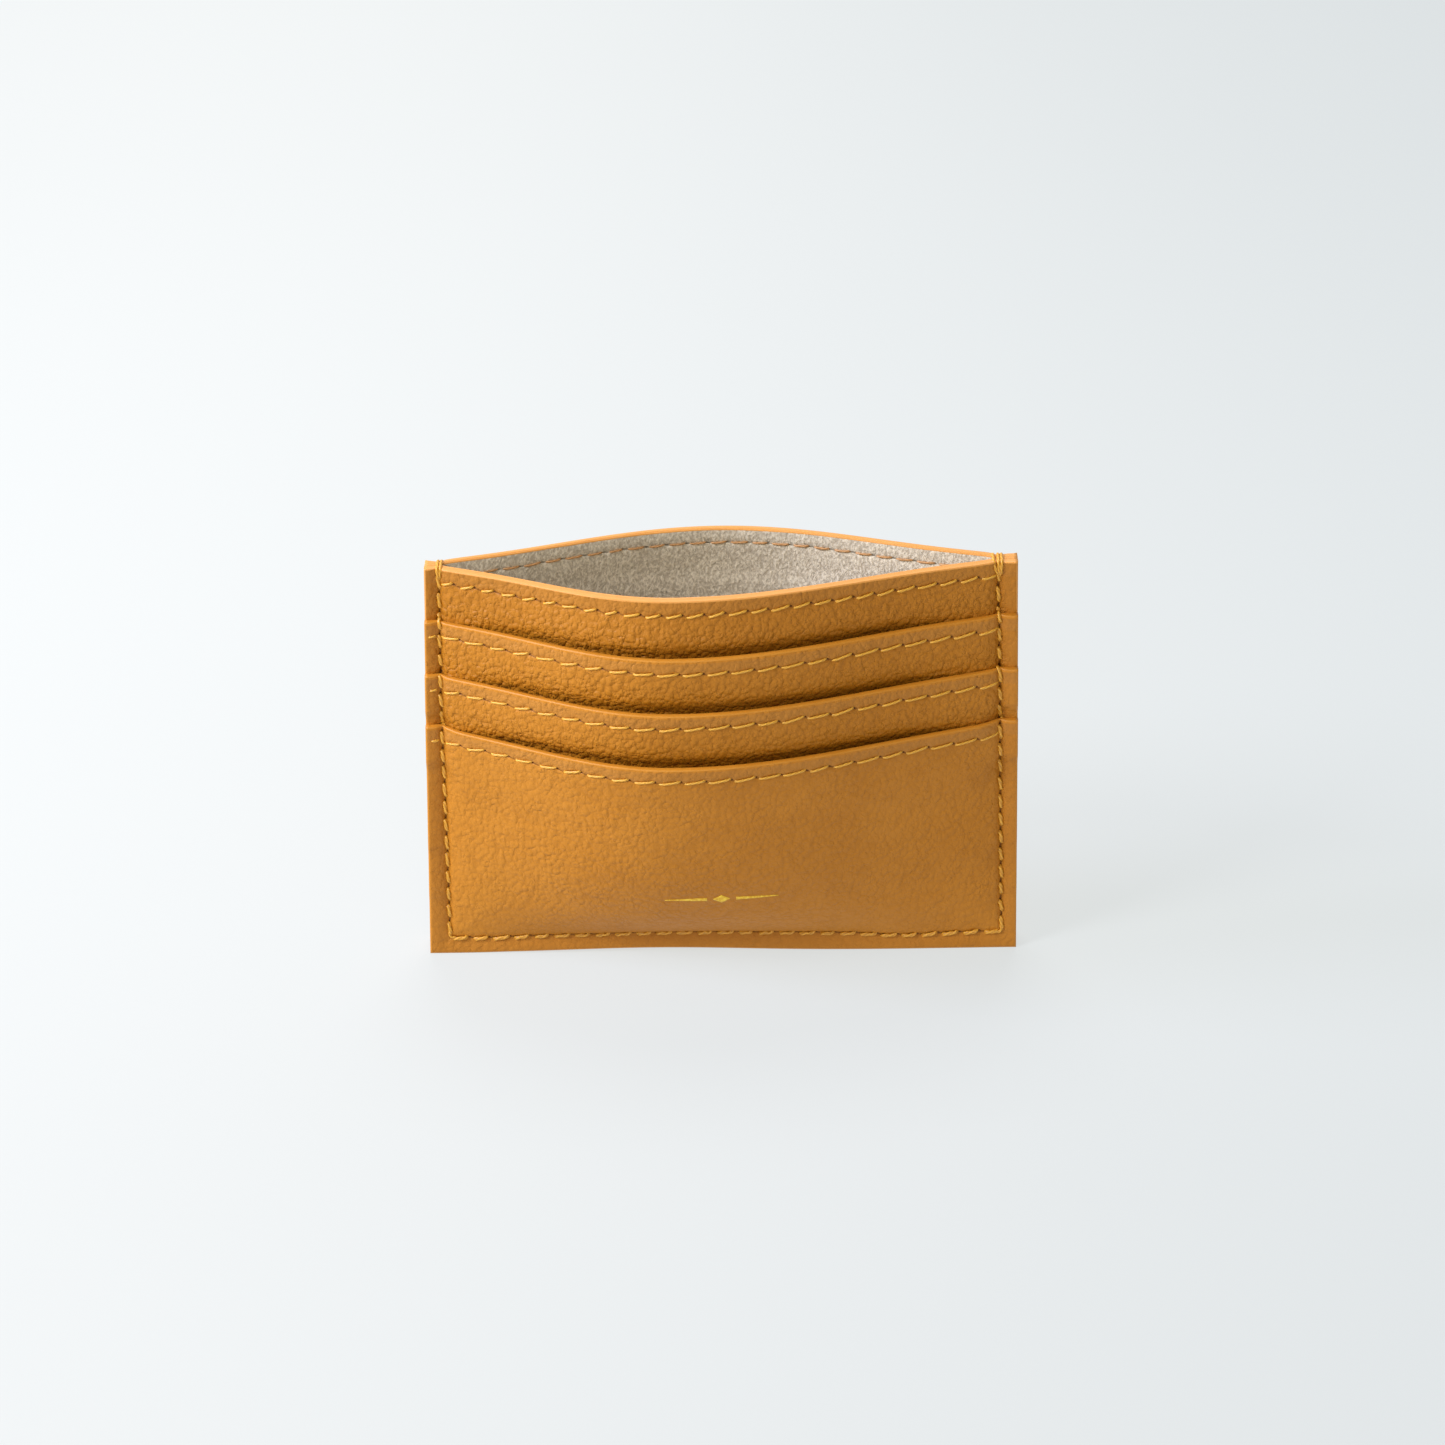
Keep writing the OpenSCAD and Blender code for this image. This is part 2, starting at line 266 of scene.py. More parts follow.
def seam_holes(seed):
    """Holes down the left seam, along the bottom and up the right seam, as three runs."""
    dice = np.random.default_rng(seed)
    side_count = round((HEIGHT - BOTTOM_INSET) / SEAM_PITCH)
    z = np.linspace(BOTTOM_INSET, HEIGHT - 0.9, side_count + 1)
    left = np.stack([left_seam(z), z], 1)
    right = np.stack([right_seam(z), z], 1)
    run = right_seam(BOTTOM_INSET) - left_seam(BOTTOM_INSET)
    x = np.linspace(left_seam(BOTTOM_INSET), right_seam(BOTTOM_INSET), round(run / SEAM_PITCH) + 1)
    bottom = np.stack([x, bottom_seam(x)], 1)
    for holes in (left, right, bottom):
        holes[1:-1] += 0.05 * dice.standard_normal(holes[1:-1].shape)
    return left, bottom, right


MOUTH_HOLES = cross_holes(1, MOUTH_PITCH, 11)
MOUTH_ROW = row_of_stitches(MOUTH_HOLES, MOUTH_SHOWN, ROW_LEAN, 21)
# The bobbin side of the same row lies straight along it
INNER_ROW = row_of_stitches(MOUTH_HOLES, BOBBIN_SHOWN, BOBBIN_LEAN, 21)
POCKET_ROWS = {
    layer: row_of_stitches(cross_holes(layer, POCKET_PITCH, 10 + layer), POCKET_SHOWN, ROW_LEAN, 20 + layer)
    for layer in (2, 3, 4)}
LEFT_RUN, BOTTOM_RUN, RIGHT_RUN = seam_holes(31)
SEAM_ROWS = [
    row_of_stitches(LEFT_RUN, LEFT_SHOWN, SIDE_LEAN, 32),
    row_of_stitches(BOTTOM_RUN, SEAM_SHOWN, BOTTOM_LEAN, 33),
    row_of_stitches(RIGHT_RUN, SEAM_SHOWN, SIDE_LEAN, 34),
]
# How high the seam's stitches lie on the leather, in the same order
SEAM_LIFTS = (0.10, 0.20, 0.10)


# ---------------------------------------------------------------- sheets as meshes
def graded(low, high, step, fine, centres, reach):
    """Positions from low to high, spaced by fine within reach of a centre and by step elsewhere."""
    places = [low]
    while places[-1] < high - 1e-6:
        here = places[-1]
        near = any(abs(here + fine / 2 - c) < reach for c in centres)
        ahead = min([c - reach - here for c in centres if c - reach > here + 1e-6] + [step])
        places.append(here + (fine if near else max(fine, min(step, ahead))))
    places = np.array(places)
    return low + (places - low) * (high - low) / (places[-1] - low)


def along_run(x, z, start, end, reach):
    """The points within reach of a short run from start to end, their places along and across it from its
    middle, and its length."""
    middle, run = (start + end) / 2, end - start
    length = np.linalg.norm(run)
    along, across = run / length, np.array([-run[1], run[0]]) / length
    close = (abs(x - middle[0]) < reach) & (abs(z - middle[1]) < reach)
    dx, dz = x[close] - middle[0], z[close] - middle[1]
    return close, dx * along[0] + dz * along[1], dx * across[0] + dz * across[1], length


def dents(x, z, rows, strength):
    """Depth of the dents that the stitches leave, and how much painted shade goes into each needle hole and
    into the crease between two stitches.
    """
    dent = np.zeros_like(x)
    dark = np.zeros_like(x)
    for stitches in rows:
        for a, b in zip(stitches[:-1], stitches[1:]):
            # Between two stitches the leather creases, with the needle hole at one end
            close, s, t, length = along_run(x, z, a.end, b.start, 2.2)
            crease = smooth((length / 2 + 0.3 - abs(s)) / 0.4) * bell(t / 0.15)
            hole = bell((s + 0.30 * length) / 0.22) * bell(t / 0.18)
            dent[close] += strength * (0.34 * hole + 0.12 * crease + 0.10 * bell(s / 1.1) * bell(t / 0.6))
            # Painted shade in the hole and along the crease
            dark[close] += 0.75 * hole + 0.7 * crease
            # Under a stitch it is pressed in
            close, s, t, length = along_run(x, z, a.start, a.end, 3)
            dent[close] += strength * 0.16 * smooth((length / 2 + 0.3 - abs(s)) / 0.6) * bell(t / 0.40)
    return dent, np.clip(dark, 0, 1)


def gathers(x, z, layer):
    """Fine puckers that run out from a row or a seam into the leather."""
    def pucker(size, phase, away, fade, start):
        return size * np.sin(phase) * np.exp(-away / fade) * smooth(away / start)

    away = abs(LAYER_EDGE[layer] - ROW_INSET - z)
    phase = 2 * np.pi * x / 1.31 + 1.7 * np.sin(x * 0.9) + 1.1 * np.sin(x * 2.3 + z)
    ripple = 0 * x + pucker(0.032, phase, away, 2.2, 0.8)
    for gap, size in ((x - left_seam(z), 0.05), (right_seam(z) - x, 0.09)):
        inside = np.maximum(gap, 0)
        phase = 2 * np.pi * (z - 0.55 * inside) / (SEAM_PITCH / 2) + 1.3 * np.sin(z * 0.7)
        ripple += pucker(size, phase, inside, 2.4, 0.7)
    inside = np.maximum(z - bottom_seam(x), 0)
    phase = 2 * np.pi * (x + 0.4 * inside) / (SEAM_PITCH / 2) + 1.1 * np.sin(x * 0.6)
    return ripple + pucker(0.04, phase, inside, 1.8, 0.7)


# Slow swells: their height, their usual length, and how many waves make them up
SWELL_HEIGHT, SWELL_REACH, SWELL_WAVES = 0.025, 13.0, 7


def unevenness(x, z, seed):
    """Slow swells of hand-finished leather."""
    dice = np.random.default_rng(seed)
    total = 0 * x
    for _ in range(SWELL_WAVES):
        angle, phase = dice.uniform(0, np.pi), dice.uniform(0, 2 * np.pi)
        wave = dice.uniform(0.7, 2.2) * SWELL_REACH
        total += np.sin((x * np.cos(angle) + z * np.sin(angle)) * 2 * np.pi / wave + phase)
    return SWELL_HEIGHT * total / SWELL_WAVES ** 0.5


# Rings of a rounded cut edge, how far it stands out, and its squareness: higher is flatter across
RIM_STEPS = 7
LEATHER_RIM, TEXTILE_RIM = 0.28, 0.05
MOUTH_SQUARENESS, SIDE_SQUARENESS = 3.0, 7.0


def rim_steps(part):
    """Shares of a sheet's thickness around its cut edge from the outer face inwards, and the same across the
    whole wall, where part says which part of the wall this sheet is."""
    share = np.linspace(1, 0, RIM_STEPS + 1)[1:-1]
    share = 0.5 + 0.5 * np.sign(2 * share - 1) * abs(2 * share - 1) ** 0.55
    return list(zip(share, mix(*part, share)))


def rounded(across, squareness):
    """How far a cut edge stands out, as a share of its bulge, at a place across it from -1 to 1."""
    return (1 - abs(across) ** squareness) ** (1 / squareness)


def quads_of(grid, turned=False):
    """The faces of a lattice of vertex numbers."""
    corners = [grid[:-1, :-1], grid[:-1, 1:], grid[1:, 1:], grid[1:, :-1]]
    if turned:
        corners = [corners[0]] + corners[:0:-1]
    return np.stack(corners, -1).reshape(-1, 4)


def band_of(a, b):
    """The faces between two closed rings of vertex numbers."""
    return np.stack([a, b, np.roll(b, -1), np.roll(a, -1)], -1)


def mesh_object(name, points, faces, materials, attributes, face_material=None):
    """A mesh of four-sided faces, from points in millimetres."""
    mesh = bpy.data.meshes.new(name)
    flat = np.asarray(faces, np.int32)
    metres = (np.asarray(points, np.float64) * MM).astype(np.float32)
    mesh.vertices.add(len(points))
    mesh.vertices.foreach_set("co", metres.ravel())
    mesh.loops.add(flat.size)
    mesh.loops.foreach_set("vertex_index", flat.ravel())
    mesh.polygons.add(len(flat))
    mesh.polygons.foreach_set("loop_start", np.arange(0, flat.size, 4, dtype=np.int32))
    for material in materials:
        mesh.materials.append(material)
    if face_material is not None:
        mesh.polygons.foreach_set("material_index", np.asarray(face_material, np.int32))
    mesh.polygons.foreach_set("use_smooth", np.ones(len(flat), bool))
    for key, values in attributes.items():
        mesh.attributes.new(key, "FLOAT", "POINT").data.foreach_set("value", np.asarray(values, np.float32))
    mesh.update(calc_edges=True)
    mesh.validate()
    piece = bpy.data.objects.new(name, mesh)
    bpy.context.scene.collection.objects.link(piece)
    return piece


def ring_of(rows, columns):
    """Lattice indices around the border, and the way out at each of them."""
    bottom = [(0, i) for i in range(columns)]
    right = [(j, columns - 1) for j in range(1, rows)]
    top = [(rows - 1, i) for i in range(columns - 2, -1, -1)]
    left = [(j, 0) for j in range(rows - 2, 0, -1)]
    ring = np.array(bottom + right + top + left)
    out_x = (ring[:, 1] == columns - 1).astype(float) - (ring[:, 1] == 0)
    out_z = (ring[:, 0] == rows - 1).astype(float) - (ring[:, 0] == 0)
    return ring, out_x, out_z


def build_sheet(name, side, low, high, faces_of, materials, columns, rows, detail, bulge, part, attributes):
    """A closed sheet with rounded rims.

    faces_of gives the inner and outer depth at (x, z), and detail the relief of the outer face and the
    painted shade in its needle holes. columns and rows are the lattice, bulge is how far the rims stand out,
    part is the sheet's share of the wall's thickness, and attributes are rules of (x, z) for the materials."""
    levels = low + bulge + (rows - rows[0]) * (high - low - 2 * bulge) / (rows[-1] - rows[0])
    z = np.repeat(levels[:, None], len(columns), 1)
    x = columns[None, :] * (half_width(z) - bulge)
    inner_depth, outer_depth = faces_of(x, z)
    ring, out_x, out_z = ring_of(*z.shape)
    border = ring[:, 0], ring[:, 1]
    push, dark = detail(x, z)
    blocks = [place(side, x, outer_depth + push, z).reshape(-1, 3)]
    rim_x, rim_z = x[border], z[border]
    joined = smooth(1 - seam_gap(rim_x, rim_z) / 1.2) if part != ALL_OF_IT else 0
    for share, across in rim_steps(part):
        top = rounded(mix(2 * across - 1, across, joined), MOUTH_SQUARENESS)
        out = bulge * np.where((out_z > 0) & (out_x == 0), top, rounded(2 * across - 1, SIDE_SQUARENESS))
        px, pz = rim_x + out_x * out, rim_z + out_z * out
        near, far = faces_of(px, pz)
        blocks.append(place(side, px, mix(near, far, share), pz))
    blocks.append(place(side, x, inner_depth, z).reshape(-1, 3))
    points = np.concatenate(blocks)

    grid = np.arange(z.size).reshape(z.shape)
    back = grid + len(points) - grid.size
    between = grid.size + np.arange((RIM_STEPS - 1) * len(ring)).reshape(RIM_STEPS - 1, -1)
    loops = [grid[border], *between, back[border]]
    front_quads, back_quads = quads_of(grid), quads_of(back, turned=True)
    rim_quads = np.concatenate([band_of(a, b) for a, b in zip(loops[:-1], loops[1:])])
    faces = np.concatenate([front_quads, rim_quads, back_quads])
    if side == BACK:
        faces = faces[:, ::-1]
    slots = np.repeat([0, 1, 2], [len(front_quads), len(rim_quads), len(back_quads)])
    values = {"hole": np.concatenate([dark.ravel(), np.zeros(len(points) - grid.size)])}
    for key, rule in attributes.items():
        every = rule(x, z)
        values[key] = np.concatenate([every.ravel()] + [every[border]] * (RIM_STEPS - 1) + [every.ravel()])
    return mesh_object(name, points, faces, materials, values, slots)


# Spacing of a lattice away from the stitching and beside it
LEATHER_COLUMNS, LINING_COLUMNS, TEXTILE_COLUMNS = (0.33, 0.15), (0.5, 0.3), (1.2, 0.6)
FULL_ROWS, STRIP_ROWS, LINING_ROWS = (0.5, 0.14), (0.3, 0.14), (0.5, 0.15)
TEXTILE_ROW_COUNT = 26
ALL_OF_IT = (0.0, 1.0)


def wall_columns(step, fine):
    """Places across the width from -1 to 1, closer together at the seams."""
    half = WIDTH / 2
    seams = [-half + 2.9, half - 2.85]
    return graded(-half, half, step, fine, seams, 1.0) / half


# ---------------------------------------------------------------- materials
class Nodes:
    """Short ways to add and join shader nodes."""

    def __init__(self, name):
        self.material = bpy.data.materials.new(name)
        self.material.use_nodes = True
        self.tree = self.material.node_tree
        self.shader = self.tree.nodes["Principled BSDF"]
        self.where = self.add("TexCoord").outputs["Object"]

    def add(self, kind, inputs=None, **settings):
        node = self.tree.nodes.new("ShaderNode" + kind)
        for key, value in settings.items():
            setattr(node, key, value)
        for key, value in (inputs or {}).items():
            self.set(node, key, value)
        return node

    def set(self, node, key, value):
        socket = node.inputs[key]
        if hasattr(value, "is_linked"):
            self.tree.links.new(value, socket)
        else:
            socket.default_value = value

    def plain(self, **values):
        """Numbers that are the same all over the surface, on the shader's own sockets."""
        for key, value in values.items():
            self.shader.inputs[key.replace("_", " ")].default_value = value

    def surface(self, base, roughness, relief, strength, distance):
        """Colour, roughness and bump of the shader."""
        bump = self.add("Bump", {"Height": relief, "Strength": strength, "Distance": distance})
        self.set(self.shader, "Normal", bump.outputs[0])
        self.set(self.shader, "Base Color", base)
        self.set(self.shader, "Roughness", roughness)

    def moved(self, vector, scale, rotation=(0.0, 0.0, 0.0)):
        return self.add("Mapping", {"Vector": vector, "Scale": scale, "Rotation": rotation}).outputs[0]

    def math(self, operation, a, b=0.0, c=0.0, clamp=False):
        node = self.add("Math", {0: a, 1: b, 2: c}, operation=operation, use_clamp=clamp)
        return node.outputs[0]

    def attribute(self, name):
        return self.add("Attribute", attribute_name=name).outputs["Fac"]

    def blend(self, share, a, b):
        node = self.add("Mix", data_type="RGBA")
        self.set(node, 0, share)
        self.set(node, 6, a)
        self.set(node, 7, b)
        return node.outputs[2]

    def ramp(self, value, low, high, to_low=0.0, to_high=1.0):
        inputs = {0: value, 1: low, 2: high, 3: to_low, 4: to_high}
        return self.add("MapRange", inputs, interpolation_type="SMOOTHSTEP").outputs[0]

    def noise(self, vector, scale, detail=2.0, roughness=0.5):
        inputs = {"Vector": vector, "Scale": scale, "Detail": detail, "Roughness": roughness}
        return self.add("TexNoise", inputs).outputs["Fac"]


def colour(*rgb):
    """A colour as read on screen, 0 to 255, made linear."""
    return (*((v / 255 / 12.92 if v < 10.3 else ((v / 255 + 0.055) / 1.055) ** 2.4) for v in rgb), 1.0)


# Coat of the cut edges, on the pockets and on the mouth; the mouth's is lighter, a painted highlight where
# the edge faces up
PAINT = (colour(191, 121, 30), colour(201, 134, 41))
HIGHLIT_MOUTH_PAINT = (colour(206, 138, 60), colour(216, 150, 74))


def leather_material():
    """Grain of soft, low pebbles that come and go. It opens where the leather is turned in, and is pressed
    flat along the bottom."""
    n = Nodes("pebbled_leather")
    where = n.where
    wander = n.add("TexNoise", {"Vector": where, "Scale": 420.0, "Detail": 1.0}).outputs["Color"]
    centred = n.add("VectorMath", {0: wander, 1: (0.5, 0.5, 0.5)}, operation="SUBTRACT").outputs[0]
    offset = n.add("VectorMath", {0: centred, "Scale": 0.0009}, operation="SCALE").outputs[0]
    bent = n.add("VectorMath", {0: where, 1: offset}, operation="ADD").outputs[0]
    tall = n.moved(bent, (1.0, 1.0, 0.85))
    cells = n.add("TexVoronoi", {"Vector": tall, "Scale": 1120.0, "Smoothness": 0.12}, feature="SMOOTH_F1")
    slope = n.math("POWER", n.math("MULTIPLY", cells.outputs["Distance"], 1.3), 2.0)
    pebble = n.math("SUBTRACT", 1.0, slope, clamp=True)
    pits = n.ramp(n.noise(bent, 1500.0, 2.0, 0.5), 0.32, 0.55)
    patch = n.noise(where, 260.0, 2.0, 0.5)
    wrinkle = n.noise(n.moved(bent, (1.0, 1.0, 0.4)), 800.0, 2.0, 0.5)
    fine = n.noise(where, 4200.0, 2.0, 0.6)
    crease = n.attribute("crease")
    relief = n.math("ADD", crease, n.ramp(patch, 0.25, 0.75, 0.18, 0.46))
    height = n.math("MULTIPLY_ADD", pits, 0.45, pebble)
    height = n.math("MULTIPLY_ADD", wrinkle, 0.6, height)
    height = n.math("MULTIPLY_ADD", n.math("MULTIPLY", height, relief), 1.0, n.math("MULTIPLY", fine, 0.05))

    mottle = n.noise(where, 60.0, 3.0, 0.55)
    base = n.blend(n.ramp(mottle, 0.3, 0.7), colour(185, 118, 29), colour(194, 126, 37))
    low = n.math("SUBTRACT", 1.0, pebble)
    # Darker in the grain's valleys: painted shade in the hollows between the pebbles
    base = n.blend(n.math("MULTIPLY", low, n.math("MULTIPLY", relief, 0.32)), base, colour(136, 76, 4))
    pale = n.attribute("pale")
    # Darker, more orange leather where the grain opens: painted shade, most in the tucks behind the pocket
    # edges
    for mark, strength, tint in (
            # The band between the stitch row and the edge is paler and greyer: a painted sheen
            (crease, 0.8, colour(172, 106, 10)), (n.attribute("band"), 0.35, colour(178, 122, 58)),
            # The margins outside the seams are darker, a painted shade; the panel's leather is a little
            # darker
            (n.attribute("margin"), 0.22, colour(150, 90, 30)), (pale, 0.25, colour(164, 102, 22))):
        base = n.blend(n.math("MULTIPLY", mark, strength), base, tint)
    ragged = n.math("ADD", n.attribute("lap"), n.math("MULTIPLY_ADD", fine, 0.5, -0.25))
    # On the mouth layers the coat that laps over the face is lighter: a painted highlight
    base = n.blend(n.ramp(ragged, 0.42, 0.62), base, n.blend(pale, PAINT[0], HIGHLIT_MOUTH_PAINT[0]))
    # Painted shade in the needle holes, the creases between stitches and along the seams
    base = n.blend(n.ramp(n.attribute("hole"), 0.12, 0.85), base, colour(96, 50, 6))
    roughness = n.math("MULTIPLY_ADD", mottle, 0.12, n.math("MULTIPLY_ADD", low, 0.08, 0.42))
    n.surface(base, roughness, height, 1.0, 0.00022)
    n.plain(Specular_IOR_Level=0.24)
    return n.material


def edge_material():
    n = Nodes("edge_paint")
    mottle = n.noise(n.where, 260.0, 3.0, 0.6)
    # The mouth edge's coat is lighter, a painted highlight where it faces up
    base = n.blend(n.attribute("pale"), n.blend(mottle, *PAINT), n.blend(mottle, *HIGHLIT_MOUTH_PAINT))
    ripple = n.noise(n.where, 900.0, 2.0, 0.5)
    n.surface(base, n.math("MULTIPLY_ADD", mottle, 0.18, 0.36), ripple, 0.5, 0.00006)
    n.plain(Specular_IOR_Level=0.35)
    return n.material


def flesh_material():
    """The split, unfinished inner face of the leather."""
    n = Nodes("leather_flesh_side")
    nap = n.noise(n.where, 2600.0, 4.0, 0.7)
    base = n.blend(nap, colour(140, 92, 38), colour(172, 120, 58))
    n.surface(base, n.math("MULTIPLY_ADD", nap, 0.1, 0.85), nap, 0.7, 0.00008)
    return n.material


def suede_material():
    """Short nap, brushed slantwise, in clumps of fibres."""
    n = Nodes("suede")
    combed = n.moved(n.where, (1.0, 1.0, 0.7), (0.0, -0.8, 0.0))
    clumps = n.noise(combed, 1500.0, 2.0, 0.6)
    fibres = n.noise(combed, 2400.0, 2.0, 0.65)
    stroke = n.noise(n.where, 95.0, 2.0, 0.5)
    tone = n.math("MULTIPLY_ADD", fibres, 0.7, n.math("MULTIPLY", clumps, 0.4))
    tone = n.ramp(n.math("MULTIPLY_ADD", stroke, 0.06, tone), 0.46, 0.72)
    base = n.blend(tone, colour(182, 168, 148), colour(226, 213, 192))
    # Painted shade in the needle holes of the inner row
    base = n.blend(n.ramp(n.attribute("hole"), 0.15, 0.8), base, colour(120, 108, 92))
    height = n.math("MULTIPLY_ADD", fibres, 0.6, clumps)
    n.surface(base, n.math("MULTIPLY_ADD", fibres, 0.06, 0.92), height, 1.0, 0.0002)
    n.plain(Specular_IOR_Level=0.15, Sheen_Weight=0.2, Sheen_Roughness=0.6)
    return n.material


def textile_material():
    """Plain weave."""
    n = Nodes("pocketing")
    threads = {"Vector": n.where, "Scale": 700.0, "Distortion": 0.6}
    warp, weft = (n.add("TexWave", threads, bands_direction=way).outputs["Fac"] for way in "XZ")
    weave = n.math("MULTIPLY", warp, weft)
    base = n.blend(weave, colour(112, 82, 48), colour(168, 130, 84))
    n.surface(base, n.math("MULTIPLY_ADD", weave, 0.1, 0.8), weave, 0.8, 0.00008)
    return n.material


def thread_material(name, dark, light):
    n = Nodes(name)
    fibre = n.noise(n.where, 3800.0, 2.0, 0.6)
    # Lighter on the crests of the plies and darker between them: painted shade
    tone = n.math("MULTIPLY_ADD", fibre, 0.4, n.math("MULTIPLY", n.attribute("ply"), 0.6))
    n.surface(n.blend(tone, dark, light), n.math("MULTIPLY_ADD", fibre, 0.2, 0.32), fibre, 0.5, 0.00004)
    return n.material


def foil_material():
    n = Nodes("gold_foil")
    wear = n.noise(n.where, 2400.0, 3.0, 0.6)
    base = n.blend(n.ramp(wear, 0.3, 0.75), colour(222, 164, 26), colour(255, 222, 80))
    n.surface(base, n.math("MULTIPLY_ADD", wear, 0.25, 0.28), wear, 0.4, 0.00004)
    n.plain(Metallic=0.6)
    return n.material


LEATHER_LOOK = leather_material()
EDGE_LOOK = edge_material()
FLESH_LOOK = flesh_material()
SUEDE_LOOK = suede_material()
TEXTILE_LOOK = textile_material()
THREAD_LOOK = thread_material("gold_thread", colour(180, 114, 16), colour(246, 192, 72))
SEAM_LOOK = thread_material("seam_thread", colour(176, 110, 16), colour(236, 176, 60))
BOBBIN_LOOK = thread_material("bobbin_thread", colour(152, 102, 54), colour(208, 158, 104))
FOIL_LOOK = foil_material()


# ---------------------------------------------------------------- leather, lining and textile pieces
def finish_piece(piece, node):
    """Each piece rides on the one body and stands for one node of the CAD part."""
    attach(piece, "root")
    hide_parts(node)
    return piece


def swells(side, x, z, seed):
    """Slow swells that die away towards the side seams."""
    return unevenness(x, z, seed) * smooth(3 * bow_share(side, x, z))


def crease_and_shade_amount(layer):
    """How far the grain opens up, and how much painted shade the leather takes with it: most where a wall
    turns in behind the next pocket, a little more up the wall and on the layers above the lower pocket, and
    none on the margins.
    """
    def rule(x, z):
        total = mix(0.0, 0.14, smooth((z - BOTTOM_INSET) / 14))
        for edge in POCKET_EDGES:
            if edge < LAYER_EDGE[layer] - 0.1:
                total = total + 0.55 * bell((z - edge) / 4.5)
        if layer < 4:
            total = total + 0.1
        return total * smooth(1 + seam_gap(x, z) / 2)
    return rule


# How far the edge coat laps over the face of the panel and of a pocket
MOUTH_LAP, POCKET_LAP = 0.38, 0.7
# Below these heights the panel is covered and the lining is plain, so their lattice is coarse there
PANEL_SEEN, LINING_SEEN = 58.0, 50.0
ROW_ZONE = 0.75


def leather_sheet(name, side, layer, low, high, row_stitches):
    row = high - ROW_INSET
    if layer == 1:
        rows = np.concatenate([
            np.arange(low, PANEL_SEEN, 2.0), graded(PANEL_SEEN, high, *STRIP_ROWS, [row, high], ROW_ZONE)])
    elif low == 0:
        rows = graded(low, high, *FULL_ROWS, [BOTTOM_INSET - 0.3, row, high], ROW_ZONE)
    else:
        rows = graded(low, high, *STRIP_ROWS, [row, high], ROW_ZONE)
    stitches = [row_stitches] + SEAM_ROWS
    lap = MOUTH_LAP if layer == 1 else POCKET_LAP
    seed = 100 * (side == BACK) + layer

    def faces_of(x, z):
        return inner(side, layer, x, z), outer(side, layer, x, z)

    def detail(x, z):
        dent, dark = dents(x, z, stitches, 1.0)
        # Painted shade along the seam line
        dark = np.maximum(dark, 0.5 * bell(seam_gap(x, z) / 0.32))
        return gathers(x, z, layer) + swells(side, x, z, seed) - dent, dark

    part = (LINING_SHARE, 1.0) if layer == 1 else ALL_OF_IT
    # The mouth layers take a lighter edge coat, a painted highlight, and the panel's leather is a little
    # darker
    marks = {
        "crease": crease_and_shade_amount(layer), "lap": lambda x, z: bell((high - z) / lap),
        # The band between the row and the edge takes a painted sheen
        "band": lambda x, z: smooth((z - row + 0.3) / 0.6),
        # The margins outside the seams take a painted shade
        "margin": lambda x, z: smooth(-seam_gap(x, z) / 0.6), "pale": lambda x, z: 0 * x + (layer == 1)}
    piece = build_sheet(
        name, side, low, high, faces_of, [LEATHER_LOOK, EDGE_LOOK, FLESH_LOOK],
        wall_columns(*LEATHER_COLUMNS), rows, detail, LEATHER_RIM, part, marks)
    return finish_piece(piece, name)


def lining_sheet(side):
    name = side + "_lining"
    rows = np.concatenate([
        np.arange(LINING_LIFT, LINING_SEEN, 1.5),
        graded(LINING_SEEN, HEIGHT, *LINING_ROWS, [HEIGHT - ROW_INSET], 0.7)])

    def faces_of(x, z):
        """The face towards the compartment counts as the outer one here."""
        return inner(side, 1, x, z), inner(side, 0, x, z)

    def detail(x, z):
        dent, dark = dents(x, z, [INNER_ROW], 0.8)
        near_seam = smooth(3 * bow_share(side, x, z))
        return (dent + unevenness(x, z, 50 + (side == BACK))) * near_seam, dark * near_seam

    # The lining's top edge takes the mouth's lighter coat, a painted highlight
    piece = build_sheet(
        name, side, LINING_LIFT, HEIGHT, faces_of, [SUEDE_LOOK, EDGE_LOOK, FLESH_LOOK],
        wall_columns(*LINING_COLUMNS), rows, detail, LEATHER_RIM, (0.0, LINING_SHARE),
        {"pale": lambda x, z: 0 * x + 1})
    piece.data.flip_normals()
    return finish_piece(piece, name)


def textile_sheet(name, side, layer, low, high):
    def faces_of(x, z):
        near = inner(side, layer, x, z)
        return near, near + TEXTILE

    def detail(x, z):
        return 0 * x, 0 * x

    rows = np.linspace(low, high, TEXTILE_ROW_COUNT)
    piece = build_sheet(
        name, side, low, high, faces_of, [TEXTILE_LOOK, EDGE_LOOK, TEXTILE_LOOK],
        wall_columns(*TEXTILE_COLUMNS), rows, detail, TEXTILE_RIM, ALL_OF_IT, {})
    return finish_piece(piece, name)


# ---------------------------------------------------------------- threads
RING_SIDES = 10
STITCH_RINGS = 13
# Length of one turn of the three plies, their relief, and how flat a thread lies
LAY_LENGTH, PLY_RELIEF, FLATTENED = 1.1, 0.13, 0.85


